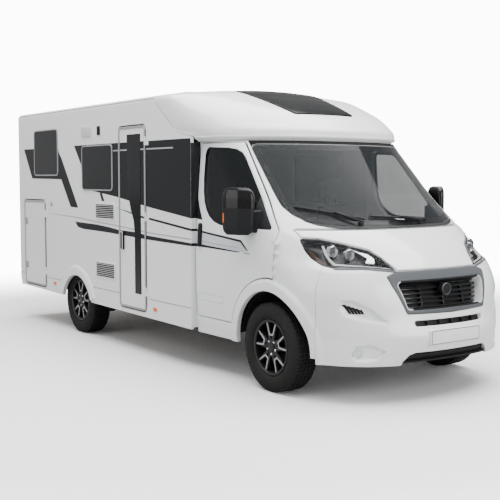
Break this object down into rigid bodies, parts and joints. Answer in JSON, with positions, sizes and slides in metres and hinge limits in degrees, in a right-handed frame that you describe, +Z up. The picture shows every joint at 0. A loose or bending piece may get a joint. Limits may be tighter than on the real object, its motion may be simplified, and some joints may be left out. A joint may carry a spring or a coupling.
{
  "type": "low-profile motorhome",
  "caption": "Low-profile motorhome: flat-panelled white living body on a front-drive van cab, with steered wheels, opening cab, entry and garage doors and a lifting bonnet.",
  "frame": {"origin": "on the ground under the middle of the vehicle's box", "axes": "+X forward, +Y to the vehicle's left, +Z up"},
  "size_m": [5.99, 2.4, 2.5434],
  "materials": {
    "white_paint": "gloss",
    "white_panel": "gloss",
    "chassis_steel": "satin",
    "engine_metal": "satin",
    "tank_plastic": "matte",
    "exhaust_steel": "satin",
    "tyre_rubber": "matte",
    "alloy_wheel": "gloss",
    "black_plastic": "satin",
    "grey_trim": "satin",
    "lamp_glass": "gloss",
    "rear_lamp_red": "gloss",
    "cab_glass": "gloss",
    "dark_acrylic": "gloss",
    "floor_board": "satin",
    "seat_fabric": "matte"
  },
  "bodies": {
    "root": {"chassis_frame": "chassis_steel", "cross_members": "chassis_steel", "front_subframe": "chassis_steel", "rear_axle": "chassis_steel", "engine_block": "engine_metal", "radiator": "tank_plastic", "underfloor_tanks": "tank_plastic", "exhaust": "exhaust_steel", "cab_body": "white_paint", "cab_hinges": "chassis_steel", "cab_floor": "tank_plastic", "front_wheelhouses": "tank_plastic", "front_bumper": "white_panel", "grille_surround": "grey_trim", "grille": "black_plastic", "headlamps": "lamp_glass", "windscreen": "cab_glass", "dashboard": "black_plastic", "cab_seats": "seat_fabric", "steering_wheel": "black_plastic", "side_wall_left": "white_panel", "side_wall_right": "white_panel", "rear_wall": "white_panel", "roof_panel": "white_panel", "floor_panel": "floor_board", "rear_wheelhouses": "tank_plastic", "front_cap": "white_panel", "cap_skylight": "dark_acrylic", "windows_left": "dark_acrylic", "windows_right": "dark_acrylic", "fridge_vents": "white_panel", "skirts": "white_panel", "rear_bumper": "white_panel", "rear_lamps": "rear_lamp_red", "roof_hatches": "white_panel"},
    "knuckle_left": {"knuckle_left": "chassis_steel"},
    "knuckle_right": {"knuckle_right": "chassis_steel"},
    "wheel_front_left": {"wheel_front_left": "alloy_wheel", "tyre_front_left": "tyre_rubber"},
    "wheel_front_right": {"wheel_front_right": "alloy_wheel", "tyre_front_right": "tyre_rubber"},
    "wheel_rear_left": {"wheel_rear_left": "alloy_wheel", "tyre_rear_left": "tyre_rubber"},
    "wheel_rear_right": {"wheel_rear_right": "alloy_wheel", "tyre_rear_right": "tyre_rubber"},
    "cab_door_left": {"cab_door_left": "white_paint", "door_glass_left": "cab_glass", "mirror_left": "black_plastic"},
    "cab_door_right": {"cab_door_right": "white_paint", "door_glass_right": "cab_glass", "mirror_right": "black_plastic"},
    "entry_door": {"entry_door_leaf": "white_panel", "entry_door_window": "dark_acrylic"},
    "garage_door": {"garage_door_leaf": "white_panel"},
    "bonnet": {"bonnet": "white_paint"}
  },
  "joints": [
    {"name": "steer_left", "type": "hinge", "parent": "root", "child": "knuckle_left", "pos_m": [2.005, 0.835, 0.262], "axis": [0, -0.2923, 0.9563], "range_deg": [-35, 35]},
    {"name": "steer_right", "type": "hinge", "parent": "root", "child": "knuckle_right", "pos_m": [2.005, -0.835, 0.262], "axis": [0, 0.2923, 0.9563], "range_deg": [-35, 35]},
    {"name": "spin_front_left", "type": "hinge", "parent": "knuckle_left", "child": "wheel_front_left", "pos_m": [2.005, 0.905, 0.35], "axis": [0, 1, 0], "continuous": true},
    {"name": "spin_front_right", "type": "hinge", "parent": "knuckle_right", "child": "wheel_front_right", "pos_m": [2.005, -0.905, 0.35], "axis": [0, 1, 0], "continuous": true},
    {"name": "spin_rear_left", "type": "hinge", "parent": "root", "child": "wheel_rear_left", "pos_m": [-1.445, 0.895, 0.35], "axis": [0, 1, 0], "continuous": true},
    {"name": "spin_rear_right", "type": "hinge", "parent": "root", "child": "wheel_rear_right", "pos_m": [-1.445, -0.895, 0.35], "axis": [0, 1, 0], "continuous": true},
    {"name": "cab_door_left_swing", "type": "hinge", "parent": "root", "child": "cab_door_left", "pos_m": [2.064, 1.029, 1.1], "axis": [0, 0, -1], "range_deg": [0, 70]},
    {"name": "cab_door_right_swing", "type": "hinge", "parent": "root", "child": "cab_door_right", "pos_m": [2.064, -1.029, 1.1], "axis": [0, 0, 1], "range_deg": [0, 70]},
    {"name": "entry_door_swing", "type": "hinge", "parent": "root", "child": "entry_door", "pos_m": [0.159, -1.07, 1.28], "axis": [0, 0, 1], "range_deg": [0, 100]},
    {"name": "garage_door_swing", "type": "hinge", "parent": "root", "child": "garage_door", "pos_m": [-2.171, -1.07, 0.9], "axis": [0, 0, 1], "range_deg": [0, 170]},
    {"name": "bonnet_lift", "type": "hinge", "parent": "root", "child": "bonnet", "pos_m": [2.121, 0, 1.273], "axis": [0, -1, 0], "range_deg": [0, 60]}
  ],
  "couplings": [
    {"joint": "steer_right", "follows": "steer_left", "ratio": 1}
  ]
}
